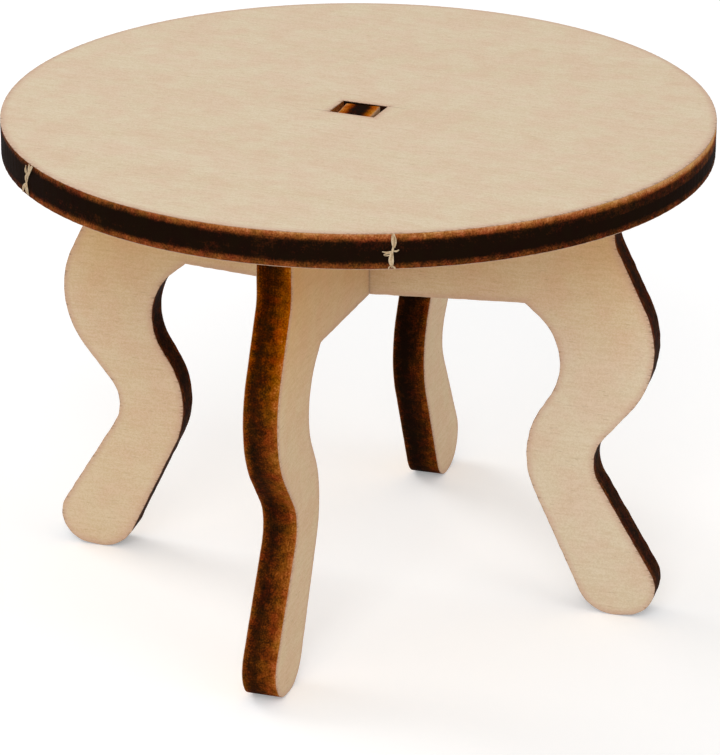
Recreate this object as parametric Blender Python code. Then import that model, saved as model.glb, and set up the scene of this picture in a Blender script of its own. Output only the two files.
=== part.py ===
"""Miniature dining table: a round plywood top on two crossed plywood leg frames that slot together."""

import bpy
from math import asin, atan2, ceil, cos, hypot, pi, radians, sin

# Driving dimensions, in metres
TOP_DIAMETER = 0.060
TABLE_HEIGHT = 0.043
PLY_THICKNESS = 0.003
FACE_VENEER = 0.0006
GLUE_LINE = 0.00005

# Leg frame: the height of its lower edge at the middle, the corner where that edge meets the leg, and arcs.
# Corners and arc centres are (distance from the middle, height).
APRON_MIDDLE = 0.0270
ARCH_CORNER = (0.0151, 0.0278)
ARCH_CENTRE = (0.01265, 0.02255)
ARCH_RADIUS = 0.0056
CALF_CENTRE = (0.0236, 0.0142)
CALF_RADIUS = 0.0081
FOOT_REACH = 0.0235
FOOT_RADIUS = 0.0034
TOE_CENTRE = (0.0244, 0.00285)
TOE_RADIUS = 0.00275
ANKLE_CENTRE = (0.02495, 0.0140)
ANKLE_RADIUS = 0.0035
KNEE_CENTRE = (0.0177, 0.02445)
KNEE_RADIUS = 0.0087
NECK_CENTRE = (0.0261, 0.0348)
NECK_RADIUS = 0.0034

# Slots, tenon and mortise
SLOT_PLAY = 0.0002
SEAT_GAP = 0.0001
TENON_WIDTH = 0.0028
TENON_SINK = 0.0001
MORTISE_LENGTH = 0.0040
MORTISE_WIDTH = 0.0031

# Facets
ARC_STEP = radians(7.5)
RIM_POINTS = 120

# Worked out from the driving dimensions
CORE_VENEER = PLY_THICKNESS - 2 * FACE_VENEER - 2 * GLUE_LINE
FACE_OFFSET = (PLY_THICKNESS - FACE_VENEER) / 2
FRAME_TOP = TABLE_HEIGHT - PLY_THICKNESS - SEAT_GAP
NECK_REACH = NECK_CENTRE[0] - NECK_RADIUS
LAP_HEIGHT = (APRON_MIDDLE + FRAME_TOP) / 2
SLOT_HALF = (PLY_THICKNESS + SLOT_PLAY) / 2
TENON_TOP = TABLE_HEIGHT - TENON_SINK

# Finish: pale face veneer, and the scorched core that shows only at its edges, as linear colour and roughness
VENEER_FINISH = ((0.68, 0.55, 0.38, 1.0), 0.6)
CORE_FINISH = ((0.055, 0.026, 0.012, 1.0), 0.85)


def clear_scene():
    """Remove whatever the scene already holds."""
    for obj in list(bpy.data.objects):
        bpy.data.objects.remove(obj, do_unlink=True)


def belt(stops):
    """Points of a closed outline that runs like a belt round stops (x, y, signed radius).

    A positive radius turns the outline left round that centre and a negative one turns it right, and straight
    lines tangent to both neighbours run between them. A radius of zero is a sharp corner.
    """
    count = len(stops)
    headings = []
    for i, (x, y, radius) in enumerate(stops):
        next_x, next_y, next_radius = stops[(i + 1) % count]
        length = hypot(next_x - x, next_y - y)
        lean = asin((next_radius - radius) / length)
        headings.append(atan2(next_y - y, next_x - x) - lean)
    points = []
    for i, (x, y, radius) in enumerate(stops):
        if radius == 0:
            points.append((x, y))
            continue
        side = 1 if radius > 0 else -1
        turn = side * (headings[i] - headings[i - 1]) % (2 * pi)
        steps = ceil(turn / ARC_STEP)
        for k in range(steps + 1):
            heading = headings[i - 1] + side * turn * k / steps
            points.append((x + radius * sin(heading), y - radius * cos(heading)))
    return points


def leg_half():
    """Stops of one leg, from the inside of the arch down, round the foot and up to the shoulder."""
    return [
        (*ARCH_CORNER, 0.0),
        (*ARCH_CENTRE, -ARCH_RADIUS),
        (*CALF_CENTRE, CALF_RADIUS),
        (FOOT_REACH, FOOT_RADIUS, FOOT_RADIUS),
        (*TOE_CENTRE, TOE_RADIUS),
        (*ANKLE_CENTRE, -ANKLE_RADIUS),
        (*KNEE_CENTRE, KNEE_RADIUS),
        (*NECK_CENTRE, -NECK_RADIUS),
        (NECK_REACH, FRAME_TOP, 0.0),
    ]


def mirrored(stops):
    """The same stops for the other side, in the order that keeps the outline running the same way."""
    return [(-x, y, radius) for x, y, radius in reversed(stops)]


def frame_outline(bottom_half, top_half):
    """A whole leg frame: the middle of its lower edge, a leg, the middle of its top and the other leg."""
    right = bottom_half + leg_half() + top_half
    return belt(right + mirrored(right))


def lower_frame_outline():
    """Leg frame whose lap slot is open at the top."""
    bottom = [(SLOT_HALF, APRON_MIDDLE, 0.0)]
    top = [(SLOT_HALF, FRAME_TOP, 0.0), (SLOT_HALF, LAP_HEIGHT - SEAT_GAP / 2, 0.0)]
    return frame_outline(bottom, top)


def upper_frame_outline():
    """Leg frame whose lap slot is open at the bottom, with a tenon for the top."""
    bottom = [(SLOT_HALF, LAP_HEIGHT + SEAT_GAP / 2, 0.0), (SLOT_HALF, APRON_MIDDLE, 0.0)]
    top = [(TENON_WIDTH / 2, FRAME_TOP, 0.0), (TENON_WIDTH / 2, TENON_TOP, 0.0)]
    return frame_outline(bottom, top)


def rim_outline():
    """The round edge of the top."""
    radius = TOP_DIAMETER / 2
    turns = [2 * pi * k / RIM_POINTS for k in range(RIM_POINTS)]
    return [(radius * cos(turn), radius * sin(turn)) for turn in turns]


def mortise_outline():
    """The slot through the top that the tenon stands in."""
    x = MORTISE_LENGTH / 2
    y = MORTISE_WIDTH / 2
    return [(x, y), (-x, y), (-x, -y), (x, -y)]


def wood(name, finish):
    """A plain wood material from a colour and a roughness."""
    colour, roughness = finish
    material = bpy.data.materials.new(name)
    material.use_nodes = True
    shader = material.node_tree.nodes["Principled BSDF"]
    shader.inputs["Base Color"].default_value = colour
    shader.inputs["Roughness"].default_value = roughness
    shader.inputs["Metallic"].default_value = 0.0
    material.diffuse_color = colour
    return material


def ply(name, outlines, thickness, offset, carrier, finish):
    """One ply of a panel: flat outlines given a thickness, set off from the panel's middle plane."""
    curve = bpy.data.curves.new(name, "CURVE")
    curve.dimensions = "2D"
    curve.fill_mode = "BOTH"
    curve.extrude = thickness / 2
    for outline in outlines:
        spline = curve.splines.new("POLY")
        spline.points.add(len(outline) - 1)
        spline.points.foreach_set("co", [value for x, y in outline for value in (x, y, 0.0, 1.0)])
        spline.use_cyclic_u = True
    obj = bpy.data.objects.new(name, curve)
    obj.location.z = offset
    obj.parent = carrier
    curve.materials.append(wood(name + "_wood", finish))
    carrier.users_collection[0].objects.link(obj)


def panel(name, ply_names, outlines, location, rotation, collection):
    """A three-ply panel: an empty on its way of travel carries a face veneer, the core and a face veneer."""
    empty = bpy.data.objects.new(name, None)
    empty.empty_display_size = PLY_THICKNESS
    empty.location = location
    empty.rotation_euler = rotation
    collection.objects.link(empty)
    first, core, last = ply_names
    ply(first, outlines, FACE_VENEER, FACE_OFFSET, empty, VENEER_FINISH)
    ply(core, outlines, CORE_VENEER, 0.0, empty, CORE_FINISH)
    ply(last, outlines, FACE_VENEER, -FACE_OFFSET, empty, VENEER_FINISH)


def build():
    """Make the three panels where they stand when the table is put together."""
    clear_scene()
    collection = bpy.data.collections.new("miniature_dining_table")
    bpy.context.scene.collection.children.link(collection)
    upright = radians(90)
    panel(
        "lower_leg_frame",
        ("lower_frame_front_veneer", "lower_frame_core", "lower_frame_back_veneer"),
        [lower_frame_outline()],
        (0.0, 0.0, 0.0),
        (upright, 0.0, 0.0),
        collection,
    )
    panel(
        "upper_leg_frame",
        ("upper_frame_right_veneer", "upper_frame_core", "upper_frame_left_veneer"),
        [upper_frame_outline()],
        (0.0, 0.0, 0.0),
        (upright, 0.0, upright),
        collection,
    )
    panel(
        "tabletop",
        ("tabletop_top_veneer", "tabletop_core", "tabletop_bottom_veneer"),
        [rim_outline(), mortise_outline()],
        (0.0, 0.0, TABLE_HEIGHT - PLY_THICKNESS / 2),
        (0.0, 0.0, 0.0),
        collection,
    )


build()
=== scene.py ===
"""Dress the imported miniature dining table: nine laser-cut plies, two torn bridges and a pale studio.

The table is three panels of three-ply birch, cut by laser and slotted together. Every ply is drawn as a
section carried along its cut outline, so that the scorched edge, its burnt arris and the pale face are real
surfaces.
"""

from math import ceil, cos, pi, radians, sin

import bpy
import numpy as np
from mathutils import Matrix, Vector


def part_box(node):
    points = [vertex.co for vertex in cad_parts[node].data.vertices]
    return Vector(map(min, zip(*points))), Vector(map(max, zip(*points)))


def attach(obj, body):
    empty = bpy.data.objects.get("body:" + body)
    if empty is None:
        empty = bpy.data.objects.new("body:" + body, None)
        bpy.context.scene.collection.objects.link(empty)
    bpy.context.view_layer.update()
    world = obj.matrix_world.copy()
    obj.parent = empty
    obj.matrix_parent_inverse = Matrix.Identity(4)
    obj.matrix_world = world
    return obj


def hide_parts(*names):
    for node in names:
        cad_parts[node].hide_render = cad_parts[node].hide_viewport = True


bl_info = {
    "name": "Miniature Dining Table",
    "version": (1, 0, 0),
    "blender": (4, 5, 0),
    "location": "View3D > Sidebar > Dining Table",
    "description": "Builds the plies, torn bridges and studio of a laser-cut miniature dining table",
    "category": "Object",
}

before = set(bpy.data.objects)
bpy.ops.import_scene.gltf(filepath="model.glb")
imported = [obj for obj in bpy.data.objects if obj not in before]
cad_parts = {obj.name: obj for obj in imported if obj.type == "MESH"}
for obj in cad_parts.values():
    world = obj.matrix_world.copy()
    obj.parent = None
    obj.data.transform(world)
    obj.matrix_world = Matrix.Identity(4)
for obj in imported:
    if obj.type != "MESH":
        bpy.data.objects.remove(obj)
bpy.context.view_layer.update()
IMAGE_WIDTH = 720
IMAGE_HEIGHT = 755
SENSOR = 36.0
MM = 0.001

TOP_BOX = (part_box("tabletop_bottom_veneer")[0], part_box("tabletop_top_veneer")[1])
CORE_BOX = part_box("tabletop_core")
PLY_THICKNESS = TOP_BOX[1].z - TOP_BOX[0].z
GLUE_HEIGHT = (CORE_BOX[1].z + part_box("tabletop_top_veneer")[0].z) / 2
TENON_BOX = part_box("upper_frame_core")
FRAME_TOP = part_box("lower_frame_core")[1].z

# Cut edges, in metres: points up a wall, depth of the wander, and how the lower frame's lean fades in
WALL_STEP = 0.00015
WANDER_DEPTH = 0.0003
SLOT_CLEARANCE = 0.002
SLOT_FADE = 0.004
TOP_FADE = 0.003
FLOOR_FADE = 0.0025
# Tone of a leg frame, in metres: where its painted shade under the top starts to rise towards the apron, and
# how far a change of tone runs
PAINTED_SHADE_START = 0.022
TONE_REACH = 0.015
# Heat: its drift along a cut, the depth of the tenon's end, and that end's heat from the middle to the faces
HEAT_DRIFT = 0.07
TENON_END = 0.0002
TENON_END_HEAT = ((0.3, 0.6, 1.0), (1.05, 0.45, 0.15))
SOFTBOX_SIZE = 0.30
SOFTBOX_AIM = Vector((0, 0, 0.02))


def linear(code):
    """Linear RGB of an sRGB hex colour."""
    srgb = np.array([int(code[i : i + 2], 16) for i in (1, 3, 5)]) / 255
    return np.where(srgb <= 0.04045, srgb / 12.92, ((srgb + 0.055) / 1.055) ** 2.4).tolist()


class TabletopSizes(bpy.types.PropertyGroup):
    """Sizes of the round top."""

    diameter: bpy.props.FloatProperty(
        name="Diameter", description="Across the round top", default=TOP_BOX[1].x - TOP_BOX[0].x,
        unit="LENGTH",
    )
    mortise_length: bpy.props.FloatProperty(
        name="Mortise length", description="Mortise along the grain of the top", default=0.0040,
        unit="LENGTH",
    )
    mortise_width: bpy.props.FloatProperty(
        name="Mortise width", description="Mortise across the grain of the top", default=0.0031,
        unit="LENGTH",
    )
    turn: bpy.props.FloatProperty(
        name="Turn", description="How far the top sits turned on its loose tenon", default=radians(-5.5),
        unit="ROTATION",
    )


class LegFrameSizes(bpy.types.PropertyGroup):
    """Outline of a leg frame: corners and arc centres are (distance from the middle, height)."""

    apron_middle: bpy.props.FloatProperty(
        name="Apron middle", description="Height of the lower edge at the middle", default=0.0270,
        unit="LENGTH",
    )
    arch_corner: bpy.props.FloatVectorProperty(
        name="Arch corner", description="Where the lower edge meets the inside of the leg",
        default=(0.0151, 0.0278), size=2, unit="LENGTH",
    )
    arch_centre: bpy.props.FloatVectorProperty(
        name="Arch centre", description="Centre of the hollow at the top of the inside of the leg",
        default=(0.01265, 0.02255), size=2, unit="LENGTH",
    )
    arch_radius: bpy.props.FloatProperty(
        name="Arch radius", description="Radius of that hollow", default=0.0056, unit="LENGTH"
    )
    calf_centre: bpy.props.FloatVectorProperty(
        name="Calf centre", description="Centre of the swelling on the inside of the leg",
        default=(0.0236, 0.0142), size=2, unit="LENGTH",
    )
    calf_radius: bpy.props.FloatProperty(
        name="Calf radius", description="Radius of that swelling", default=0.0081, unit="LENGTH"
    )
    foot_reach: bpy.props.FloatProperty(
        name="Foot reach", description="Distance of the round foot's centre from the middle",
        default=0.0235, unit="LENGTH",
    )
    foot_radius: bpy.props.FloatProperty(
        name="Foot radius", description="Radius of the round foot", default=0.0034, unit="LENGTH"
    )
    toe_centre: bpy.props.FloatVectorProperty(
        name="Toe centre", description="Centre of the tighter round at the outside of the foot",
        default=(0.0244, 0.00285), size=2, unit="LENGTH",
    )
    toe_radius: bpy.props.FloatProperty(
        name="Toe radius", description="Radius of that round", default=0.00275, unit="LENGTH"
    )
    ankle_centre: bpy.props.FloatVectorProperty(
        name="Ankle centre", description="Centre of the hollow on the outside of the leg",
        default=(0.02495, 0.0140), size=2, unit="LENGTH",
    )
    ankle_radius: bpy.props.FloatProperty(
        name="Ankle radius", description="Radius of that hollow", default=0.0035, unit="LENGTH"
    )
    knee_centre: bpy.props.FloatVectorProperty(
        name="Knee centre", description="Centre of the swelling on the outside of the leg",
        default=(0.0177, 0.02445), size=2, unit="LENGTH",
    )
    knee_radius: bpy.props.FloatProperty(
        name="Knee radius", description="Radius of that swelling", default=0.0087, unit="LENGTH"
    )
    neck_centre: bpy.props.FloatVectorProperty(
        name="Neck centre", description="Centre of the hollow under the top", default=(0.0261, 0.0348),
        size=2, unit="LENGTH",
    )
    neck_radius: bpy.props.FloatProperty(
        name="Neck radius", description="Radius of the hollow under the top", default=0.0034, unit="LENGTH"
    )
    slot_play: bpy.props.FloatProperty(
        name="Slot play", description="How much wider a lap slot is than the panel in it", default=0.0002,
        unit="LENGTH",
    )
    seat_gap: bpy.props.FloatProperty(
        name="Seat gap", description="Gap between the ends of the two lap slots", default=0.0001,
        unit="LENGTH",
    )
    tenon_width: bpy.props.FloatProperty(
        name="Tenon width", description="Width of the tenon that stands in the mortise", default=0.0028,
        unit="LENGTH",
    )


class CutSizes(bpy.types.PropertyGroup):
    """What the laser leaves at a cut edge, and how finely it is drawn."""

    spacing: bpy.props.FloatProperty(
        name="Point spacing", description="Distance between points along an outline", default=0.00025,
        unit="LENGTH",
    )
    arris: bpy.props.FloatProperty(
        name="Arris radius", description="Radius of the burnt corner between face and edge",
        default=0.00007, unit="LENGTH",
    )
    margin: bpy.props.FloatProperty(
        name="Scorch margin", description="Strip of the face beside the edge that carries scorch marks",
        default=0.0011, unit="LENGTH",
    )
    kerf_wander: bpy.props.FloatProperty(
        name="Kerf wander", description="How far the cut wanders into the panel", default=0.00005,
        unit="LENGTH",
    )
    kerf_lean: bpy.props.FloatProperty(
        name="Kerf lean",
        description="How much further in the lower leg frame is cut at its back than at its front",
        default=0.00015, unit="LENGTH",
    )


class WoodColours(bpy.types.PropertyGroup):
    """Colours of the wood, from the clean face to the char."""

    face_pale: bpy.props.FloatVectorProperty(
        name="Face, pale", description="Pale wood of the face veneer", default=linear("#E2D1B6"),
        subtype="COLOR",
    )
    face_tan: bpy.props.FloatVectorProperty(
        name="Face, tan", description="Darker grain of the face veneer", default=linear("#D8C3A2"),
        subtype="COLOR",
    )
    face_blush: bpy.props.FloatVectorProperty(
        name="Face, blush", description="Tint of the pinkish patches", default=linear("#FEF4F5"),
        subtype="COLOR",
    )
    # Tint multiplied into the leg frames' faces: painted shade under the top and on the upper frame
    face_tone_and_shade: bpy.props.FloatVectorProperty(
        name="Face, tone", description="Tint of the browner sheets", default=linear("#F8DBAC"),
        subtype="COLOR",
    )
    pore: bpy.props.FloatVectorProperty(
        name="Pore", description="Short dark pores in the face veneer", default=linear("#B0936F"),
        subtype="COLOR",
    )
    smoke: bpy.props.FloatVectorProperty(
        name="Smoke", description="Pinkish stain on the face beside a cut", default=linear("#C89D87"),
        subtype="COLOR",
    )
    whisker: bpy.props.FloatVectorProperty(
        name="Whisker", description="Scorched fibres beside a cut", default=linear("#6A4026"),
        subtype="COLOR",
    )
    edge_tan: bpy.props.FloatVectorProperty(
        name="Edge, tan", description="Least scorched edge", default=linear("#CC9A60"), subtype="COLOR"
    )
    edge_amber: bpy.props.FloatVectorProperty(
        name="Edge, amber", description="Lightly scorched edge", default=linear("#A3632F"), subtype="COLOR"
    )
    edge_russet: bpy.props.FloatVectorProperty(
        name="Edge, russet", description="Well scorched edge", default=linear("#774019"), subtype="COLOR"
    )
    edge_brown: bpy.props.FloatVectorProperty(
        name="Edge, brown", description="Dark scorched edge", default=linear("#3C1E0B"), subtype="COLOR"
    )
    edge_char: bpy.props.FloatVectorProperty(
        name="Edge, char", description="Charred edge", default=linear("#190E07"), subtype="COLOR"
    )
    torn_fibre: bpy.props.FloatVectorProperty(
        name="Torn fibre", description="Clean fibres torn out of a bridge", default=linear("#CFB897"),
        subtype="COLOR",
    )
    floor: bpy.props.FloatVectorProperty(
        name="Floor", description="Paper that the table stands on", default=linear("#F2F2F2"),
        subtype="COLOR",
    )


class StudioSettings(bpy.types.PropertyGroup):
    """Camera and light."""

    azimuth: bpy.props.FloatProperty(
        name="Camera azimuth", description="Turn of the camera round the table", default=radians(17.1),
        unit="ROTATION",
    )
    elevation: bpy.props.FloatProperty(
        name="Camera elevation", description="Camera above the horizon", default=radians(22.53),
        unit="ROTATION",
    )
    roll: bpy.props.FloatProperty(
        name="Camera roll", description="Lean of the camera", default=radians(0.2), unit="ROTATION"
    )
    distance: bpy.props.FloatProperty(
        name="Camera distance", description="From the camera to its target", default=0.34219, unit="LENGTH"
    )
    focal_pixels: bpy.props.FloatProperty(
        name="Focal length", description="Focal length in pixels of the picture", default=3966.0,
        subtype="PIXEL",
    )
    target_right: bpy.props.FloatProperty(
        name="Target right", description="Target to the right of the table's axis", default=0.0002,
        unit="LENGTH",
    )
    target_height: bpy.props.FloatProperty(
        name="Target height", description="Height of the camera's target", default=0.018572, unit="LENGTH"
    )
    sky: bpy.props.FloatProperty(
        name="Sky", description="Strength of the light from all round", default=0.60
    )
    front: bpy.props.FloatProperty(
        name="Front", description="Power of the softbox in front", default=1.0, unit="POWER"
    )
    right: bpy.props.FloatProperty(
        name="Right", description="Power of the softbox on the right", default=0.35, unit="POWER"
    )
    left: bpy.props.FloatProperty(
        name="Left", description="Power of the softbox behind on the left", default=1.05, unit="POWER"
    )
    paper_glow: bpy.props.FloatProperty(
        name="Paper glow", description="Light that the camera sees in the floor itself", default=0.25
    )


def settings():
    """The property groups of the current scene."""
    scene = bpy.context.scene
    return tuple(getattr(scene, name) for name in GROUPS)


# Materials


def add_node(tree, kind, inputs=None, stops=None, **options):
    """Add a node with its options, give each input a value or a link, and fill a ramp's stops."""
    node = tree.nodes.new(kind)
    for name, value in options.items():
        setattr(node, name, value)
    for name, value in (inputs or {}).items():
        if isinstance(value, bpy.types.NodeSocket):
            tree.links.new(value, node.inputs[name])
        else:
            node.inputs[name].default_value = value
    for i, (position, colour) in enumerate(stops or []):
        points = node.color_ramp.elements
        point = points[i] if i < 2 else points.new(position)
        point.position = position
        point.color = (*colour, 1.0)
    return node


def new_material(name):
    """An empty node material with its principled shader linked to the output."""
    material = bpy.data.materials.new(name)
    material.use_nodes = True
    tree = material.node_tree
    return material, tree, tree.nodes["Principled BSDF"]


def birch_face_veneer(colours):
    """Birch veneer, rotary cut and sanded, left bare.

    To the eye it is pale and matt, with fibres a sixth of a millimetre wide that run along the sheet, broad
    faint bands, blushes of pink and a few short pores. A browner tint is multiplied in by the mesh's tone: on
    the leg frames, more on the upper frame as painted shade for faces that stand in shade, a little more on
    the lower frame's left leg, and rising to a painted shade under the top. Beside a laser cut it is stained
    pink by smoke, and the scorch runs in along the fibres as dark whiskers. A hairline split runs along the
    grain from two corners of the mortise.
    """
    top, _, _, _, _ = settings()
    material, tree, shader = new_material("birch_face_veneer_rotary_cut_bare")
    sheet = add_node(tree, "ShaderNodeAttribute", attribute_name="sheet").outputs["Vector"]
    inset = add_node(tree, "ShaderNodeAttribute", attribute_name="inset").outputs["Fac"]
    end_grain = add_node(tree, "ShaderNodeAttribute", attribute_name="end_grain").outputs["Fac"]
    tone_and_painted_shade = add_node(tree, "ShaderNodeAttribute", attribute_name="tone_and_painted_shade").outputs["Fac"]
    # Fibres 0.17 mm wide and 1.6 mm long: real ones are a tenth of that, too fine to show
    along = add_node(tree, "ShaderNodeMapping", {"Vector": sheet, "Scale": (1 / 1.6, 1 / 0.17, 1.0)})
    fibres = add_node(tree, "ShaderNodeTexNoise", {"Vector": along.outputs[0], "Scale": 1.0, "Detail": 4.0})
    # Sanding fuzz 0.12 mm across
    fuzz = add_node(tree, "ShaderNodeTexNoise", {"Vector": sheet, "Scale": 1 / 0.12, "Detail": 1.0})
    # Bands of growth 2.5 mm wide and 45 mm long
    banded = add_node(tree, "ShaderNodeMapping", {"Vector": sheet, "Scale": (1 / 45.0, 1 / 2.5, 1.0)})
    bands = add_node(tree, "ShaderNodeTexNoise", {"Vector": banded.outputs[0], "Scale": 1.0, "Detail": 2.0})
    # Blushes 2.5 mm across, with smaller ones in them
    patches = add_node(tree, "ShaderNodeTexNoise", {"Vector": sheet, "Scale": 1 / 2.5, "Detail": 4.0})
    # Pores 0.12 mm wide and 0.9 mm long
    porous = add_node(tree, "ShaderNodeMapping", {"Vector": sheet, "Scale": (1 / 0.9, 1 / 0.12, 1.0)})
    pores = add_node(tree, "ShaderNodeTexNoise", {"Vector": porous.outputs[0], "Scale": 1.0, "Detail": 1.0})
    # Whiskers 0.13 mm wide
    whiskered = add_node(tree, "ShaderNodeMapping", {"Vector": sheet, "Scale": (1 / 1.6, 1 / 0.13, 1.0)})
    whiskers = add_node(
        tree, "ShaderNodeTexNoise", {"Vector": whiskered.outputs[0], "Scale": 1.0, "Detail": 2.0}
    )

    figure = add_node(
        tree, "ShaderNodeMix", {0: 0.25, 2: fibres.outputs["Fac"], 3: bands.outputs["Fac"]},
        data_type="FLOAT",
    )
    fuzzy = add_node(
        tree, "ShaderNodeMix", {0: 0.5, 2: figure.outputs[0], 3: fuzz.outputs["Fac"]}, data_type="FLOAT"
    )
    tone = add_node(
        tree, "ShaderNodeValToRGB", {"Fac": fuzzy.outputs[0]},
        stops=[(0.40, colours.face_tan), (0.60, colours.face_pale)],
    )
    blush = add_node(
        tree, "ShaderNodeMapRange",
        {"Value": patches.outputs["Fac"], "From Min": 0.38, "From Max": 0.62, "To Max": 0.75},
    )
    blushed = add_node(
        tree, "ShaderNodeMix", {0: blush.outputs[0], 6: tone.outputs[0], 7: (*colours.face_blush, 1.0)},
        data_type="RGBA", blend_type="MULTIPLY",
    )
    pore_mask = add_node(
        tree, "ShaderNodeMapRange",
        {"Value": pores.outputs["Fac"], "From Min": 0.68, "From Max": 0.78, "To Max": 0.40},
    )
    pored = add_node(
        tree, "ShaderNodeMix", {0: pore_mask.outputs[0], 6: blushed.outputs[2], 7: (*colours.pore, 1.0)},
        data_type="RGBA",
    )
    # Browner tint multiplied in: painted shade under the top and on the upper frame, and a little on one leg
    toned = add_node(
        tree, "ShaderNodeMix", {0: tone_and_painted_shade, 6: pored.outputs[2], 7: (*colours.face_tone_and_shade, 1.0)},
        data_type="RGBA", blend_type="MULTIPLY",
    )
    # Smoke stains the outermost 0.8 mm
    smoke = add_node(
        tree, "ShaderNodeMapRange",
        {"Value": inset, "From Min": 0.0, "From Max": 0.8, "To Min": 0.5, "To Max": 0.0},
        interpolation_type="SMOOTHSTEP",
    )
    smoked = add_node(
        tree, "ShaderNodeMix", {0: smoke.outputs[0], 6: toned.outputs[2], 7: (*colours.smoke, 1.0)},
        data_type="RGBA",
    )
    # A whisker reaches in by up to 0.6 mm where the fibres end at the cut, and hardly where they run along it
    chance = add_node(
        tree, "ShaderNodeMapRange", {"Value": whiskers.outputs["Fac"], "From Min": 0.5, "From Max": 0.8}
    )
    reach = add_node(
        tree, "ShaderNodeMath", {0: chance.outputs["Result"], 1: end_grain}, operation="MULTIPLY"
    )
    depth = add_node(
        tree, "ShaderNodeMath", {0: reach.outputs[0], 1: 0.6, 2: 0.02}, operation="MULTIPLY_ADD"
    )
    scorch = add_node(
        tree, "ShaderNodeMapRange",
        {"Value": inset, "From Max": depth.outputs[0], "To Min": 0.55, "To Max": 0.0},
    )
    # The splits are 0.07 mm wide, start at opposite corners of the mortise and die away in 2.2 mm
    place = add_node(tree, "ShaderNodeSeparateXYZ", {"Vector": sheet})
    side = add_node(tree, "ShaderNodeMath", {0: place.outputs["X"]}, operation="SIGN")
    turned = add_node(
        tree, "ShaderNodeMath", {0: place.outputs["Y"], 1: side.outputs[0]}, operation="MULTIPLY"
    )
    line = add_node(
        tree, "ShaderNodeMath", {0: turned.outputs[0], 1: top.mortise_width / 2 / MM, 2: 0.035},
        operation="COMPARE",
    )
    away = add_node(tree, "ShaderNodeMath", {0: place.outputs["X"]}, operation="ABSOLUTE")
    start = top.mortise_length / 2 / MM
    fading = add_node(
        tree, "ShaderNodeMapRange",
        {"Value": away.outputs[0], "From Min": start, "From Max": start + 2.2, "To Min": 0.75, "To Max": 0.0},
    )
    split = add_node(tree, "ShaderNodeMath", {0: line.outputs[0], 1: fading.outputs[0]}, operation="MULTIPLY")
    burnt = add_node(tree, "ShaderNodeMath", {0: scorch.outputs[0], 1: split.outputs[0]}, operation="MAXIMUM")
    scorched = add_node(
        tree, "ShaderNodeMix", {0: burnt.outputs[0], 6: smoked.outputs[2], 7: (*colours.whisker, 1.0)},
        data_type="RGBA",
    )
    bump = add_node(
        tree, "ShaderNodeBump", {"Height": fibres.outputs["Fac"], "Strength": 0.25, "Distance": 0.00003}
    )
    tree.links.new(scorched.outputs[2], shader.inputs["Base Color"])
    tree.links.new(bump.outputs["Normal"], shader.inputs["Normal"])
    shader.inputs["Roughness"].default_value = 0.62
    shader.inputs["Specular IOR Level"].default_value = 0.15
    shader.inputs["IOR"].default_value = 1.5
    return material


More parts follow.
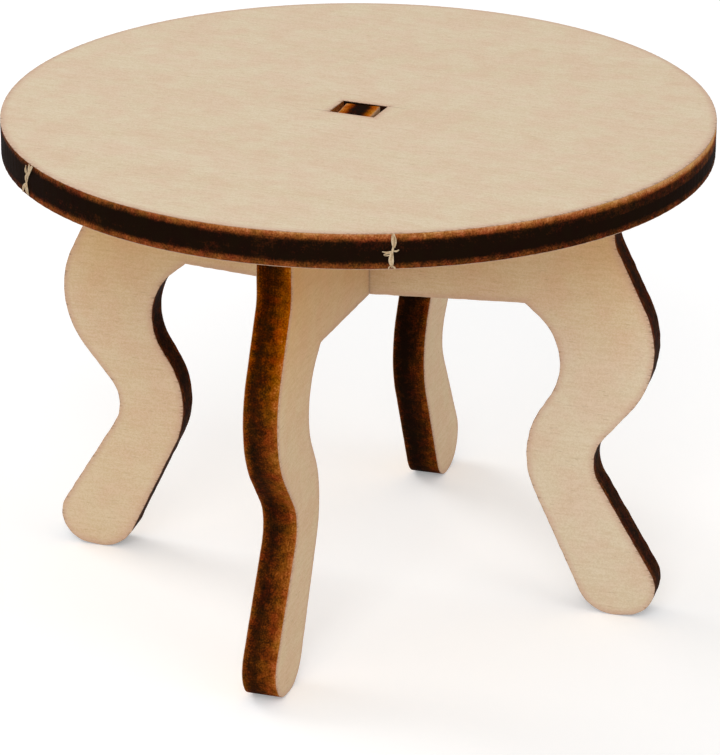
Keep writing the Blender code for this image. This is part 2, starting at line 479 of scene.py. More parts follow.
def laser_cut_edge(colours, name, grit, mottle):
    """Plywood edge, cut and scorched by a laser.

    To the eye it runs from amber through russet to a soft sooty black with hardly any sheen, by how much
    heat the edge took, which the mesh holds. Grit, blotches and thin lines along the plies break it up, the
    brown turns now redder and now more olive, and the orange grows stronger with the face's browner tone,
    which is a painted shade under the top and on the upper frame.
    """
    material, tree, shader = new_material(name)
    sheet = add_node(tree, "ShaderNodeAttribute", attribute_name="sheet").outputs["Vector"]
    heat = add_node(tree, "ShaderNodeAttribute", attribute_name="scorch").outputs["Fac"]
    # Blotches 0.6 mm across, grit 0.14 mm across and lines 0.12 mm wide along the plies
    blotches = add_node(tree, "ShaderNodeTexNoise", {"Vector": sheet, "Scale": 1 / 0.6, "Detail": 4.0})
    specks = add_node(tree, "ShaderNodeTexNoise", {"Vector": sheet, "Scale": 1 / 0.14, "Detail": 1.0})
    drawn = add_node(tree, "ShaderNodeMapping", {"Vector": sheet, "Scale": (1 / 2.5, 1 / 2.5, 1 / 0.12)})
    lines = add_node(tree, "ShaderNodeTexNoise", {"Vector": drawn.outputs[0], "Scale": 1.0, "Detail": 1.0})
    blotched = add_node(
        tree, "ShaderNodeMapRange",
        {"Value": blotches.outputs[0], "From Min": 0.25, "From Max": 0.75, "To Min": -mottle, "To Max": mottle},
    )
    specked = add_node(
        tree, "ShaderNodeMapRange",
        {"Value": specks.outputs["Fac"], "From Min": 0.25, "From Max": 0.75, "To Min": -grit, "To Max": grit},
    )
    lined = add_node(
        tree, "ShaderNodeMapRange",
        {"Value": lines.outputs["Fac"], "From Min": 0.25, "From Max": 0.75, "To Min": -0.04, "To Max": 0.04},
    )
    uneven = add_node(
        tree, "ShaderNodeMath", {0: blotched.outputs["Result"], 1: lined.outputs["Result"]},
        operation="ADD",
    )
    rough_heat = add_node(
        tree, "ShaderNodeMath", {0: uneven.outputs[0], 1: specked.outputs["Result"]}, operation="ADD"
    )
    total = add_node(tree, "ShaderNodeMath", {0: heat, 1: rough_heat.outputs[0]}, operation="ADD")
    tone = add_node(
        tree, "ShaderNodeValToRGB", {"Fac": total.outputs[0]},
        stops=[
            (0.0, colours.edge_tan),
            (1.0, colours.edge_char),
            (0.28, colours.edge_amber),
            (0.5, colours.edge_russet),
            (0.75, colours.edge_brown),
        ],
    )
    # The hue drifts by a few degrees over 1.2 mm
    drift = add_node(tree, "ShaderNodeTexNoise", {"Vector": sheet, "Scale": 1 / 1.2, "Detail": 2.0})
    hue = add_node(
        tree, "ShaderNodeMapRange",
        {"Value": drift.outputs["Fac"], "From Min": 0.3, "From Max": 0.7, "To Min": 0.484, "To Max": 0.507},
    )
    # The orange grows with the face's tone, and so also with its painted shade
    tone_and_painted_shade = add_node(tree, "ShaderNodeAttribute", attribute_name="tone_and_painted_shade").outputs["Fac"]
    richness = add_node(tree, "ShaderNodeMapRange", {"Value": tone_and_painted_shade, "To Min": 1.0, "To Max": 1.1})
    tinted = add_node(
        tree, "ShaderNodeHueSaturation",
        {"Hue": hue.outputs[0], "Saturation": richness.outputs[0], "Color": tone.outputs["Color"]},
    )
    bump = add_node(
        tree, "ShaderNodeBump", {"Height": rough_heat.outputs[0], "Strength": 0.5, "Distance": 0.00006}
    )
    tree.links.new(tinted.outputs["Color"], shader.inputs["Base Color"])
    tree.links.new(bump.outputs["Normal"], shader.inputs["Normal"])
    shader.inputs["Roughness"].default_value = 0.6
    shader.inputs["Specular IOR Level"].default_value = 0.005
    shader.inputs["IOR"].default_value = 1.5
    return material


def torn_birch_fibre(colours):
    """Birch fibres torn out of a bridge that held the panel in its sheet: clean, pale and woolly."""
    material, tree, shader = new_material("birch_fibre_torn")
    place = add_node(tree, "ShaderNodeTexCoord").outputs["Object"]
    # Tufts 0.2 mm across
    tufts = add_node(tree, "ShaderNodeTexNoise", {"Vector": place, "Scale": 1 / (0.2 * MM), "Detail": 2.0})
    tone = add_node(
        tree, "ShaderNodeValToRGB", {"Fac": tufts.outputs["Fac"]},
        stops=[(0.3, colours.pore), (0.6, colours.torn_fibre)],
    )
    tree.links.new(tone.outputs["Color"], shader.inputs["Base Color"])
    shader.inputs["Roughness"].default_value = 0.85
    shader.inputs["Specular IOR Level"].default_value = 0.2
    return material


def ply_materials(colours):
    """The face veneer, its cut edge and the core's cut edge, made once and shared by every panel."""
    edge_names = ("birch_veneer_edge_laser_cut", "birch_core_edge_laser_charred")
    names = ("birch_face_veneer_rotary_cut_bare", *edge_names)
    if names[0] not in bpy.data.materials:
        birch_face_veneer(colours)
        laser_cut_edge(colours, names[1], grit=0.15, mottle=0.15)
        laser_cut_edge(colours, names[2], grit=0.13, mottle=0.15)
    return [bpy.data.materials[name] for name in names]


# Surfaces


def ripple(rows, columns, waves, rng):
    """Smooth seeded noise on a grid that closes on itself along the columns, from -1 to 1.

    It is the mean of cosines, each of a whole number of waves round the outline, with a phase that drifts
    from row to row.
    """
    counts = rng.integers(waves[0], waves[1], 14)
    phases = rng.uniform(0, 2 * pi, 14)
    drifts = rng.normal(0, 0.25, 14)
    turn = np.linspace(0, 2 * pi, columns, endpoint=False)
    row = np.arange(rows)[:, None, None]
    return np.cos(counts * turn[None, :, None] + phases + drifts * row).mean(axis=2) * 2.0


def belt(stops, spacing):
    """A closed outline that runs like a belt round stops (x, y, signed radius), and its way inwards.

    An arc is its centre plus its radius times (sin h, -cos h), as the heading h turns from one straight run
    to the next: left for a positive radius and right for a negative one. A radius of zero is a sharp
    corner. The way inwards is the left normal (-sin h, cos h), at a corner stretched to the mitre, and it
    is spread evenly along the straight runs, so an outline moved inwards keeps its corners.
    """
    x, y, radius = np.array(stops).T
    next_x, next_y, next_radius = np.roll(x, -1), np.roll(y, -1), np.roll(radius, -1)
    run = np.hypot(next_x - x, next_y - y)
    leaving = np.arctan2(next_y - y, next_x - x) - np.arcsin((next_radius - radius) / run)
    arriving = np.roll(leaving, 1)
    keys = []
    for i in range(len(stops)):
        if radius[i] == 0:
            bend = (leaving[i] - arriving[i] + pi) % (2 * pi) - pi
            heading = np.array([arriving[i] + bend / 2])
            stretch = 1 / cos(bend / 2)
        else:
            side = np.sign(radius[i])
            bend = side * (leaving[i] - arriving[i]) % (2 * pi)
            steps = ceil(abs(radius[i]) * bend / spacing)
            heading = arriving[i] + side * np.linspace(0, bend, steps + 1)
            stretch = 1.0
        across = np.stack([np.sin(heading), -np.cos(heading)], axis=1)
        centre = np.array([x[i], y[i]])
        keys.append(np.hstack([centre + radius[i] * across, -across * stretch]))
    keys = np.vstack(keys)
    ahead = np.roll(keys, -1, axis=0)
    gaps = np.hypot(*(ahead - keys)[:, :2].T)
    counts = np.maximum(1, np.ceil(gaps / spacing)).astype(int)
    first = np.repeat(np.arange(len(keys)), counts)
    share = (np.arange(counts.sum()) - np.repeat(np.cumsum(counts) - counts, counts)) / counts[first]
    path = keys[first] + share[:, None] * (ahead - keys)[first]
    return path[:, :2], path[:, 2:]


def ply_section(low, high, bare, cut):
    """Section of a ply at a cut edge, as (inset, height) from the low face round the edge to the high face.

    A bare face ends in a quarter-round arris, with rings on the face out to the scorch margin that stand
    closer together towards the edge. A glued face ends square.
    """
    turn = np.linspace(0, pi / 2, 5)[1:]
    face = cut.margin * np.linspace(1, 0, 8)[:-1] ** 2 + cut.arris
    wall_low = low + cut.arris if bare == "low" else low
    wall_high = high - cut.arris if bare == "high" else high
    height = np.linspace(wall_low, wall_high, max(5, ceil((high - low) / WALL_STEP)))
    inset = np.zeros_like(height)
    if bare == "low":
        inset = np.concatenate([face, cut.arris * (1 - np.sin(turn)), inset[1:]])
        height = np.concatenate([np.full_like(face, low), low + cut.arris * (1 - np.cos(turn)), height[1:]])
    if bare == "high":
        inset = np.concatenate([inset[:-1], cut.arris * (1 - np.sin(turn[::-1])), face[::-1]])
        rounded = high - cut.arris * (1 - np.cos(turn[::-1]))
        height = np.concatenate([height[:-1], rounded, np.full_like(face, high)])
    return inset, height


def edge_heat(height, run_noise, profile):
    """Heat of the cut edge, from 0, tan, to 1, char: its panel's profile, with a drift along the cut.

    The profile is heats at shares of half the thickness, from the low face, -1, to the high face, 1.
    """
    shares, heats = zip(*profile)
    return np.interp(height / (PLY_THICKNESS / 2), shares, heats)[:, None] + HEAT_DRIFT * run_noise


def surface_object(name, rings, attributes, wraps, edge_rings, materials):
    """A mesh object from rings of points, with quads between them, closed by caps or back to the start.

    edge_rings holds, for each ring, whether the band that starts there belongs to the cut edge. A cap next
    to such a band is a glued face, and takes the edge's material too.
    """
    rows, columns = rings.shape[:2]
    index = np.arange(rows * columns).reshape(rows, columns)
    above = np.roll(index, -1, axis=0) if wraps else index[1:]
    below = index if wraps else index[:-1]
    corners = [below, np.roll(below, -1, axis=1), np.roll(above, -1, axis=1), above]
    quads = np.stack(corners, axis=2).reshape(-1, 4)
    caps = [] if wraps else [index[0, ::-1].tolist(), index[-1].tolist()]
    mesh = bpy.data.meshes.new(name)
    mesh.from_pydata(rings.reshape(-1, 3), [], quads.tolist() + caps)
    for label, values in attributes.items():
        kind = "FLOAT_VECTOR" if values.ndim == 3 else "FLOAT"
        field = "vector" if values.ndim == 3 else "value"
        attribute = mesh.attributes.new(label, kind, "POINT")
        attribute.data.foreach_set(field, values.astype(np.float32).ravel())
    for material in materials:
        mesh.materials.append(material)
    bands = np.repeat(edge_rings[: len(below)], columns)
    ends = [] if wraps else [edge_rings[0], edge_rings[-2]]
    slots = np.concatenate([bands, ends]) * (len(materials) - 1)
    mesh.polygons.foreach_set("material_index", slots.astype(np.int32))
    mesh.shade_smooth()
    mesh.set_sharp_from_angle(angle=radians(50))
    mesh.validate()
    obj = bpy.data.objects.new(name, mesh)
    bpy.context.scene.collection.objects.link(obj)
    return obj


def register_piece(obj, node, body):
    """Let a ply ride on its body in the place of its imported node."""
    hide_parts(node)
    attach(obj, body)


def plies_of(names):
    """Name, low and high face, bare face and record slot of a panel's plies, from its high face down."""
    half = PLY_THICKNESS / 2
    glue = GLUE_HEIGHT - (TOP_BOX[0].z + TOP_BOX[1].z) / 2
    high, core, low = names
    return [
        (high, glue, half, "high", "face_veneer"),
        (core, -glue, glue, "none", "core_ply"),
        (low, -half, -glue, "low", "face_veneer"),
    ]


def leg_frame_stops(sizes, lower):
    """Stops of a leg frame's outline: half of it with its lap slot or tenon, then the same half mirrored."""
    slot = (PLY_THICKNESS + sizes.slot_play) / 2
    lap = (sizes.apron_middle + FRAME_TOP) / 2
    reach = sizes.neck_centre[0] - sizes.neck_radius
    leg = [
        (*sizes.arch_corner, 0.0),
        (*sizes.arch_centre, -sizes.arch_radius),
        (*sizes.calf_centre, sizes.calf_radius),
        (sizes.foot_reach, sizes.foot_radius, sizes.foot_radius),
        (*sizes.toe_centre, sizes.toe_radius),
        (*sizes.ankle_centre, -sizes.ankle_radius),
        (*sizes.knee_centre, sizes.knee_radius),
        (*sizes.neck_centre, -sizes.neck_radius),
        (reach, FRAME_TOP, 0.0),
    ]
    if lower:
        bottom = [(slot, sizes.apron_middle, 0.0)]
        top = [(slot, FRAME_TOP, 0.0), (slot, lap - sizes.seat_gap / 2, 0.0)]
    else:
        bottom = [(slot, lap + sizes.seat_gap / 2, 0.0), (slot, sizes.apron_middle, 0.0)]
        top = [(sizes.tenon_width / 2, FRAME_TOP, 0.0), (sizes.tenon_width / 2, TENON_BOX[1].z, 0.0)]
    half = bottom + leg + top
    return half + [(-x, y, radius) for x, y, radius in reversed(half)]


def cut_leg_frame(body, names, lower, axes, profile, tones, seed):
    """The three plies of a leg frame: each is its section carried along the outline, in the plane of axes.

    The face's tone goes from the first tone at the feet to the second at the apron, by a smooth step: a
    painted shade, browner under the top. The third tone is added on the first leg, at negative distances from
    the middle, and taken off the second. The fourth tone is heat added on the second leg. The tenon's end
    fades from a charred middle to tan sides. The lower frame's cut leans: it is moved inwards in proportion
    to the depth from the front, except near the lap slot, under the top and on the floor.
    """
    _, sizes, cut, colours, _ = settings()
    face, veneer_edge, core_edge = ply_materials(colours)
    outline, inwards = belt(leg_frame_stops(sizes, lower), cut.spacing)
    end_grain = np.abs(inwards[:, 0]) / np.hypot(*inwards.T)
    rng = np.random.default_rng(seed)
    x, z = np.abs(outline[:, 0]), outline[:, 1]
    clear = np.clip((x - SLOT_CLEARANCE) / SLOT_FADE, 0, 1)
    clear = clear * np.clip((FRAME_TOP - z) / TOP_FADE, 0, 1) * np.clip(z / FLOOR_FADE, 0, 1)
    lean = cut.kerf_lean * clear * lower
    for node, low, high, bare, slot in plies_of(names):
        inset, height = ply_section(low, high, bare, cut)
        rows, columns = len(inset), len(outline)
        wander = cut.kerf_wander * (1 + ripple(rows, columns, (40, 260), rng)) / 2
        wander = np.clip(wander, 0, None) * (inset < WANDER_DEPTH)[:, None]
        moved = inset[:, None] + wander + (0.5 - height / PLY_THICKNESS)[:, None] * lean
        plane = outline + moved[:, :, None] * inwards
        flat = np.dstack([plane, np.broadcast_to(height[:, None], (rows, columns))])
        rings = flat @ np.array(axes, float)
        # Painted shade: the face turns browner from this height up to the apron under the top
        painted_shade_rise = np.clip((plane[:, :, 1] - PAINTED_SHADE_START) / TONE_REACH, 0, 1)
        drift = tones[2] * np.clip(-plane[:, :, 0] / TONE_REACH, -1, 1)
        tenon_end = plane[:, :, 1] > TENON_BOX[1].z - TENON_END
        run_heat = edge_heat(height, ripple(rows, columns, (5, 60), rng), profile)
        run_heat = run_heat + tones[3] * np.clip(plane[:, :, 0] / TONE_REACH, 0, 1)
        end_heat = np.interp(np.abs(height) / (PLY_THICKNESS / 2), *TENON_END_HEAT)[:, None]
        attributes = {
            "sheet": (flat + np.array([0.0, 0.2 * seed, 0.0])) / MM,
            "inset": np.broadcast_to(inset[:, None], (rows, columns)) / MM,
            "end_grain": np.broadcast_to(end_grain, (rows, columns)),
            "scorch": np.where(tenon_end, end_heat, run_heat),
            "tone_and_painted_shade": tones[0] + (tones[1] - tones[0]) * painted_shade_rise**2 * (3 - 2 * painted_shade_rise) + drift,
        }
        edge_bands = (inset == 0) & (np.roll(inset, -1) == 0)
        materials = [core_edge] if bare == "none" else [face, veneer_edge]
        obj = surface_object(node + "_ply", rings, attributes, False, edge_bands, materials)
        register_piece(obj, node, body)


def cut_tabletop(body, names, profile, seed):
    """The three plies of the top: a section carried round, from the round rim over the face to the mortise.

    A ring is a share w of the circle and 1 - w of the mortise's rectangle, both moved into the wood by the
    inset, and the angles are spread so that the rectangle's corners fall on points. The rim's upper half is
    hotter towards the left and spared at the back right, and its lower half is hotter at both sides. The
    mortise is charred on its long sides and amber at its ends.
    """
    top, _, cut, colours, _ = settings()
    face, veneer_edge, core_edge = ply_materials(colours)
    radius = top.diameter / 2
    half = np.array([top.mortise_length, top.mortise_width]) / 2
    side_points = ceil(2 * pi * radius / cut.spacing / 4)
    side = np.linspace(-1, 1, side_points, endpoint=False)
    ones = np.ones(side_points)
    square = np.vstack(
        [np.stack(pair, axis=1) for pair in ((ones, side), (-side, ones), (-ones, -side), (side, -ones))]
    )
    corner = np.arctan2(half[1], half[0])
    starts = np.array([-corner, corner, pi - corner, pi + corner])
    spans = np.array([2 * corner, pi - 2 * corner, 2 * corner, pi - 2 * corner])
    angle = (starts[:, None] + spans[:, None] * (side + 1) / 2).ravel()
    circle = np.stack([np.cos(angle), np.sin(angle)], axis=1)
    middle = (TOP_BOX[0].z + TOP_BOX[1].z) / 2
    bridge = np.linspace(0, 1, 26)[1:-1]
    rng = np.random.default_rng(seed)
    rim_grain = np.abs(circle[:, 0])
    spared = 0.36 * np.clip((circle[:, 1] + 0.60) / 0.8, 0, 1) * np.clip(circle[:, 0] / 0.5, 0, 1)
    mortise_grain = (np.abs(square[:, 0]) > 0.999).astype(float)
    turn = np.array([[cos(top.turn), sin(top.turn), 0], [-sin(top.turn), cos(top.turn), 0], [0, 0, 1]])
    for node, low, high, bare, slot in plies_of(names):
        inset, height = ply_section(low, high, bare, cut)
        rim = len(inset)
        share = np.concatenate([np.ones(rim), 1 - bridge, np.zeros(rim), bridge])
        span = len(bridge)
        far = np.full(span, cut.margin + cut.arris)
        inner = inset[-1] if bare == "high" else 0.0
        outer = inset[0] if bare == "low" else 0.0
        insets = np.concatenate([inset, np.full(span, inner), inset[::-1], np.full(span, outer)])
        distance = np.concatenate([inset, far, inset[::-1], far])
        heights = np.concatenate([height, np.full(span, high), height[::-1], np.full(span, low)])
        rows, columns = len(share), len(angle)
        wander = cut.kerf_wander * np.clip(1 + ripple(rows, columns, (60, 400), rng), 0, None) / 2
        moved = insets[:, None] + wander * (distance < WANDER_DEPTH)[:, None]
        round_part = circle * (radius - moved)[:, :, None]
        square_part = square * (half + moved[:, :, None])
        plane = share[:, None, None] * round_part + (1 - share)[:, None, None] * square_part
        flat = np.dstack([plane, np.broadcast_to(heights[:, None], (rows, columns))])
        over = 0.44 * np.clip(0.2 - circle[:, 0], 0, 0.9)
        under = 0.20 * np.clip(circle[:, 0], 0, 1) + 0.35 * np.clip(-2.2 - 4 * circle[:, 0], 0, 1)
        rim_heat = edge_heat(heights, ripple(rows, columns, (5, 60), rng), profile)
        rim_heat = rim_heat + np.where(heights[:, None] > 0, over - spared, under)
        mortise_heat = 0.95 - 0.55 * mortise_grain
        attributes = {
            "sheet": flat / MM,
            "inset": np.broadcast_to(distance[:, None], (rows, columns)) / MM,
            "end_grain": share[:, None] * rim_grain + (1 - share)[:, None] * mortise_grain,
            "scorch": np.where(share[:, None] > 0.5, rim_heat, mortise_heat),
            "tone_and_painted_shade": np.zeros((rows, columns)),
        }
        glued = heights == (high if bare == "low" else low)
        edge_bands = (distance == 0) & (np.roll(distance, -1) == 0) | glued & np.roll(glued, -1)
        materials = [core_edge] if bare == "none" else [face, veneer_edge]
        rings = flat @ turn + np.array([0.0, 0.0, middle])
        obj = surface_object(node + "_ply", rings, attributes, True, edge_bands, materials)
        register_piece(obj, node, body)


def torn_bridge(name, turn, strands, seed):
    """Fibres left on the rim where a bridge tore: each is a tapered tube bent along a bowed line.

    A strand is (from along, from up, to along, to up, width, count) in millimetres on the unrolled rim, and
    its fibres are spread over its width. A fibre's centre runs evenly between its ends, bows out from the
    rim by a half sine, and its radius is the square root of a half sine.
    """
    top, _, _, colours, _ = settings()
    if "birch_fibre_torn" not in bpy.data.materials:
        torn_birch_fibre(colours)
    rng = np.random.default_rng(seed)
    table = np.array(strands)
    counts = table[:, 5].astype(int)
    each = np.repeat(table, counts, axis=0)
    fibres = len(each)
    spread = rng.uniform(-0.5, 0.5, (fibres, 1)) * each[:, 4:5]
    lean = np.stack([each[:, 3] - each[:, 1], each[:, 0] - each[:, 2]], axis=1)
    lean = lean / np.hypot(*lean.T)[:, None]
    start = each[:, 0:2] + lean * spread * rng.uniform(0.3, 1.0, (fibres, 1))
    start = start + rng.normal(0, 0.02, (fibres, 2))
    end = each[:, 2:4] + lean * spread * rng.uniform(0.3, 1.0, (fibres, 1))
    end = end + rng.normal(0, 0.04, (fibres, 2))
    share = np.linspace(0, 1, 13)[None, :, None]
    swell = np.sin(pi * share)
    bow = lean[:, None] * (spread + rng.normal(0, 0.04, (fibres, 1)))[:, None] * swell
    centre = start[:, None] * (1 - share) + end[:, None] * share + bow
    out = rng.uniform(0.02, 0.12, (fibres, 1, 1)) * swell + 0.03
    thick = rng.uniform(0.028, 0.048, (fibres, 1, 1)) * np.sqrt(np.clip(swell, 0.06, 1))
    ring = np.linspace(0, 2 * pi, 8, endpoint=False)[None, None, :]
    sideways = lean[:, None, None, :] * (1.7 * thick * np.cos(ring))[..., None]
    along = centre[:, :, None, 0] + sideways[..., 0]
    up = np.clip(centre[:, :, None, 1] + sideways[..., 1], -PLY_THICKNESS / 2 / MM, PLY_THICKNESS / 2 / MM)
    outwards = out + thick * np.sin(ring)
    radius = top.diameter / 2
    angle = turn + along * MM / radius
    reach = radius + outwards * MM
    middle = (TOP_BOX[0].z + TOP_BOX[1].z) / 2
    points = np.stack([reach * np.cos(angle), reach * np.sin(angle), middle + up * MM], axis=-1)
    count = points.shape[1] * points.shape[2]
    index = np.arange(count).reshape(points.shape[1:3])
    quads = np.stack(
        [index[:-1], np.roll(index[:-1], -1, axis=1), np.roll(index[1:], -1, axis=1), index[1:]], axis=2
    ).reshape(-1, 4)
    offsets = np.arange(fibres) * count
    faces = (quads[None] + offsets[:, None, None]).reshape(-1, 4).tolist()
    faces += (index[0, ::-1] + offsets[:, None]).tolist()
    faces += (index[-1] + offsets[:, None]).tolist()
    mesh = bpy.data.meshes.new(name)
    mesh.from_pydata(points.reshape(-1, 3), [], faces)
    mesh.materials.append(bpy.data.materials["birch_fibre_torn"])
    mesh.shade_smooth()
    obj = bpy.data.objects.new(name, mesh)
    bpy.context.scene.collection.objects.link(obj)
    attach(obj, "tabletop")


# Operators


class TABLE_OT_cut_tabletop(bpy.types.Operator):
    """Cut the three plies of the round top"""

    bl_idname = "dining_table.cut_tabletop"
    bl_label = "Cut Tabletop"

    def execute(self, context):
        cut_tabletop(
            "tabletop",
            ("tabletop_top_veneer", "tabletop_core", "tabletop_bottom_veneer"),
            (
                (-1.0, 0.50),
                (-0.83, 0.50),
                (-0.71, 0.58),
                (-0.62, 0.74),
                (-0.54, 1.0),
                (-0.45, 1.04),
                (0.20, 1.04),
                (0.45, 0.98),
                (0.51, 0.88),
                (0.62, 0.55),
                (0.74, 0.40),
                (0.86, 0.26),
                (1.0, 0.10),
            ),
            seed=1,
        )
        return {"FINISHED"}


class TABLE_OT_cut_lower_frame(bpy.types.Operator):
    """Cut the three plies of the leg frame that runs left and right, whose lap slot is open at the top"""

    bl_idname = "dining_table.cut_lower_frame"
    bl_label = "Cut Lower Leg Frame"

    def execute(self, context):
        cut_leg_frame(
            "lower_leg_frame",
            ("lower_frame_front_veneer", "lower_frame_core", "lower_frame_back_veneer"),
            True,
            ((1, 0, 0), (0, 0, 1), (0, -1, 0)),
            ((-1.0, 0.70), (-0.6, 0.82), (-0.3, 0.90), (0.3, 0.90), (0.6, 0.78), (1.0, 0.60)),
            # Tones: 0.12 at the feet, rising to painted shade under the top, browner on the left leg, no added
            # heat
            (0.12, 1.0, 0.14, 0.0),
            seed=2,
        )
        return {"FINISHED"}


class TABLE_OT_cut_upper_frame(bpy.types.Operator):
    """Cut the three plies of the leg frame that runs front and back, whose tenon carries the top"""

    bl_idname = "dining_table.cut_upper_frame"
    bl_label = "Cut Upper Leg Frame"

    def execute(self, context):
        cut_leg_frame(
            "upper_leg_frame",
            ("upper_frame_right_veneer", "upper_frame_core", "upper_frame_left_veneer"),
            False,
            ((0, 1, 0), (0, 0, 1), (1, 0, 0)),
            (
                (-1.0, 0.45),
                (-0.83, 0.63),
                (-0.71, 0.72),
                (-0.59, 0.80),
                (-0.36, 0.86),
                (-0.13, 0.77),
                (0.10, 0.69),
                (0.33, 0.61),
                (0.57, 0.50),
                (0.80, 0.40),
                (1.0, 0.26),
            ),
            # Tones: browner from the feet up, as painted shade for faces that stand in shade, rising to painted
            # shade under the top, and heat added on the back leg
            (0.35, 1.0, 0.0, 0.20),
            seed=3,
        )
        return {"FINISHED"}


class TABLE_OT_tear_bridges(bpy.types.Operator):
    """Leave torn fibres on the rim where two bridges held the top in its sheet"""

    bl_idname = "dining_table.tear_bridges"
    bl_label = "Tear Bridges"

    def execute(self, context):
        front = (
            (0.12, 1.49, 0.17, 0.25, 0.18, 4),
            (0.15, 0.10, -0.78, 0.00, 0.06, 2),
            (0.05, 0.08, 0.55, 0.20, 0.05, 1),
            (0.05, -0.15, -0.66, -0.30, 0.06, 2),
            (0.12, 0.40, 0.05, -0.30, 0.14, 3),
            (0.06, -0.05, 0.02, -1.36, 0.30, 5),
            (0.00, -1.20, -0.26, -1.49, 0.06, 1),
            (0.04, -1.20, 0.20, -1.49, 0.06, 1),
        )
        left = (
            (-0.35, 1.16, 0.05, 0.30, 0.14, 3),
            (0.30, 1.46, 0.02, 0.25, 0.34, 5),
            (1.00, 1.47, 0.22, 0.45, 0.16, 3),
            (0.05, 0.55, -0.35, -0.50, 0.22, 5),
            (-0.30, -0.30, -1.30, -1.42, 0.16, 4),
            (-0.25, -0.35, 0.05, -1.40, 0.22, 4),
        )
        torn_bridge("front_torn_bridge", radians(-67.9), front, seed=4)
        torn_bridge("left_torn_bridge", radians(-135.7), left, seed=5)
        return {"FINISHED"}


class TABLE_OT_set_stage(bpy.types.Operator):
    """Lay the floor and set the light and the camera"""

    bl_idname = "dining_table.set_stage"
    bl_label = "Set Stage"

    def execute(self, context):
        _, _, _, colours, studio = settings()
        scene = context.scene
        scene.view_settings.view_transform = "Standard"
        lay_floor(scene, colours, studio)
        hang_lights(scene, studio)
        set_camera(scene, studio)
        return {"FINISHED"}


def lay_floor(scene, colours, studio):
    """White paper that keeps the table's shadow, and glows a little to the camera to whiten faint shade."""
    half = 3.0
    grid = np.linspace(-half, half, 3)
    points = np.stack([*np.meshgrid(grid, grid), np.zeros((3, 3))], axis=-1).reshape(-1, 3)
    index = np.arange(9).reshape(3, 3)
    faces = np.stack([index[:-1, :-1], index[:-1, 1:], index[1:, 1:], index[1:, :-1]], axis=2).reshape(-1, 4)
    mesh = bpy.data.meshes.new("paper_floor")
    mesh.from_pydata(points, [], faces.tolist())
    material, tree, shader = new_material("white_paper_matt")
    rays = add_node(tree, "ShaderNodeLightPath").outputs
    seen = add_node(
        tree, "ShaderNodeMath", {0: rays["Is Camera Ray"], 1: rays["Is Glossy Ray"]}, operation="ADD",
        use_clamp=True,
    )
    seen = add_node(
        tree, "ShaderNodeMath", {0: seen.outputs[0], 1: rays["Is Transmission Ray"]}, operation="ADD",
        use_clamp=True,
    )
    glow = add_node(tree, "ShaderNodeMath", {0: seen.outputs[0], 1: studio.paper_glow}, operation="MULTIPLY")
    tree.links.new(glow.outputs[0], shader.inputs["Emission Strength"])
    shader.inputs["Emission Color"].default_value = (1.0, 1.0, 1.0, 1.0)
    shader.inputs["Base Color"].default_value = (*colours.floor, 1.0)
    shader.inputs["Roughness"].default_value = 0.9
    shader.inputs["Specular IOR Level"].default_value = 0.0
    mesh.materials.append(material)
    floor = bpy.data.objects.new("paper_floor", mesh)
    scene.collection.objects.link(floor)


def hang_lights(scene, studio):
    """An even white sky and three softboxes low enough to light the floor under the top."""
    world = bpy.data.worlds.new("white_tent")
    world.use_nodes = True
    tree = world.node_tree
    rays = add_node(tree, "ShaderNodeLightPath").outputs
    white = add_node(
        tree, "ShaderNodeMapRange", {"Value": rays["Is Camera Ray"], "To Min": studio.sky, "To Max": 1.0}
    )
    background = tree.nodes["Background"]
    background.inputs["Color"].default_value = (1.0, 1.0, 1.0, 1.0)
    tree.links.new(white.outputs["Result"], background.inputs["Strength"])
    scene.world = world
    lamps = (
        ("softbox_front", studio.front, Vector((0.06, -0.47, 0.36))),
        ("softbox_right", studio.right, Vector((0.47, -0.17, 0.37))),
        ("softbox_left", studio.left, Vector((-0.47, 0.17, 0.36))),
    )
    for name, power, place in lamps:
        lamp = bpy.data.lights.new(name, "AREA")
        lamp.energy = power
        lamp.size = SOFTBOX_SIZE
        light = bpy.data.objects.new(name, lamp)
        light.location = place
        light.rotation_euler = (SOFTBOX_AIM - place).to_track_quat("-Z", "Y").to_euler()
        scene.collection.objects.link(light)


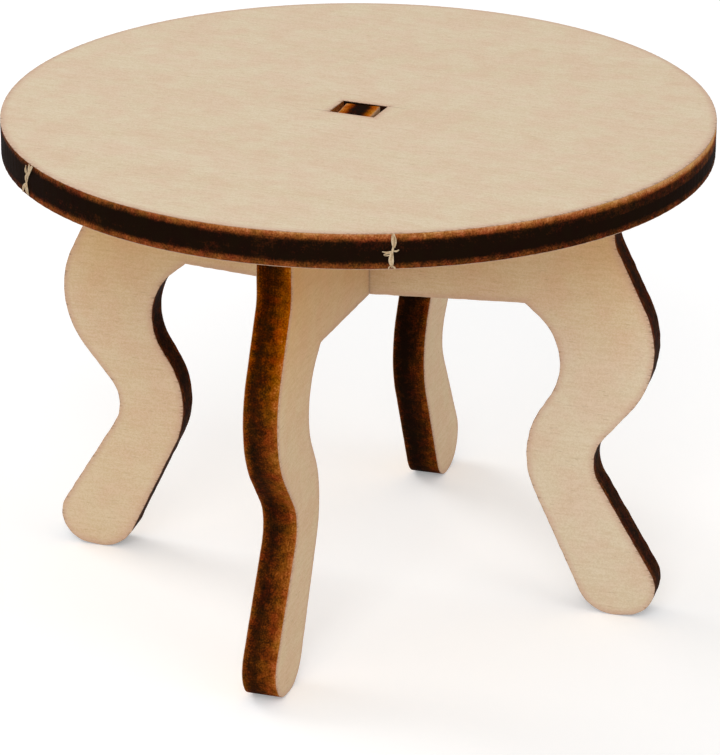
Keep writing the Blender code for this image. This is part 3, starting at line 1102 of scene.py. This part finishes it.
def set_camera(scene, studio):
    """A long lens at the picture's angle, on a sphere round its target and leaning by the roll."""
    azimuth, elevation, roll = studio.azimuth, studio.elevation, studio.roll
    level = Vector((cos(azimuth), sin(azimuth), 0))
    back = Vector((cos(elevation) * sin(azimuth), -cos(elevation) * cos(azimuth), sin(elevation)))
    upright = back.cross(level)
    right = level * cos(roll) + upright * sin(roll)
    up = upright * cos(roll) - level * sin(roll)
    target = level * studio.target_right + Vector((0, 0, studio.target_height))
    lens = bpy.data.cameras.new("camera")
    lens.sensor_width = SENSOR
    lens.lens = studio.focal_pixels * SENSOR / max(IMAGE_WIDTH, IMAGE_HEIGHT)
    lens.clip_start = 0.01
    camera = bpy.data.objects.new("camera", lens)
    turned = Matrix((right, up, back)).transposed().to_4x4()
    camera.matrix_world = Matrix.Translation(target + back * studio.distance) @ turned
    scene.collection.objects.link(camera)
    scene.camera = camera


class TABLE_PT_sidebar(bpy.types.Panel):
    """Sidebar panel that lists the table's operators"""

    bl_label = "Dining Table"
    bl_idname = "TABLE_PT_sidebar"
    bl_space_type = "VIEW_3D"
    bl_region_type = "UI"
    bl_category = "Dining Table"

    def draw(self, context):
        for operator in OPERATORS:
            self.layout.operator(operator.bl_idname)


OPERATORS = (
    TABLE_OT_cut_tabletop,
    TABLE_OT_cut_lower_frame,
    TABLE_OT_cut_upper_frame,
    TABLE_OT_tear_bridges,
    TABLE_OT_set_stage,
)
GROUPS = {
    "table_tabletop": TabletopSizes,
    "table_leg_frame": LegFrameSizes,
    "table_cut": CutSizes,
    "table_colours": WoodColours,
    "table_studio": StudioSettings,
}


def register():
    """Register the classes and hang the settings on the scene."""
    for item in (*GROUPS.values(), *OPERATORS, TABLE_PT_sidebar):
        bpy.utils.register_class(item)
    for name, group in GROUPS.items():
        setattr(bpy.types.Scene, name, bpy.props.PointerProperty(type=group))


def unregister():
    """Take the settings off the scene and unregister the classes."""
    for name in GROUPS:
        delattr(bpy.types.Scene, name)
    for item in (TABLE_PT_sidebar, *reversed(OPERATORS), *reversed(GROUPS.values())):
        bpy.utils.unregister_class(item)


def main():
    """Build the table and its studio."""
    register()
    bpy.ops.dining_table.cut_tabletop()
    bpy.ops.dining_table.cut_lower_frame()
    bpy.ops.dining_table.cut_upper_frame()
    bpy.ops.dining_table.tear_bridges()
    bpy.ops.dining_table.set_stage()


if __name__ == "__main__":
    main()
